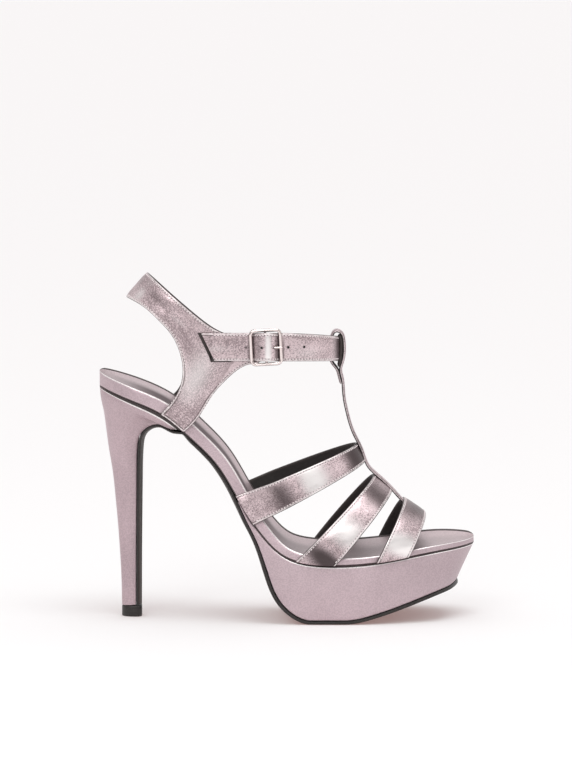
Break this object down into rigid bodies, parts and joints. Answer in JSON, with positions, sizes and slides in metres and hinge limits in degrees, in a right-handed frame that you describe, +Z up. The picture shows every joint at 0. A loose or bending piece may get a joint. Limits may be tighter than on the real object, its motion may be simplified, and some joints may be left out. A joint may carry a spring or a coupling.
{
  "type": "strappy heeled sandal",
  "caption": "Open sandal for the right foot with a platform, a high slim covered heel, vamp straps, a T-strap looped round an ankle strap and a small frame buckle.",
  "frame": {"origin": "on the floor, under the middle of the shoe's box", "axes": "+X from heel to toe, +Z up, -Y the outer side with the buckle"},
  "size_m": [0.21, 0.084, 0.1943],
  "materials": {
    "foil_leather": "crinkled metallic foil, bright",
    "satin_cover": "metallic leather, satin",
    "sole_rubber": "smooth, semi-matte",
    "buckle_metal": "polished, pale rose"
  },
  "bodies": {
    "root": {"outsole": "sole_rubber", "platform": "satin_cover", "insole": "satin_cover", "heel": "satin_cover", "top_piece": "sole_rubber", "upper": "foil_leather", "quarter": "foil_leather", "ankle_strap": "foil_leather", "buckle_frame": "buckle_metal", "buckle_prong": "buckle_metal"}
  },
  "joints": []
}
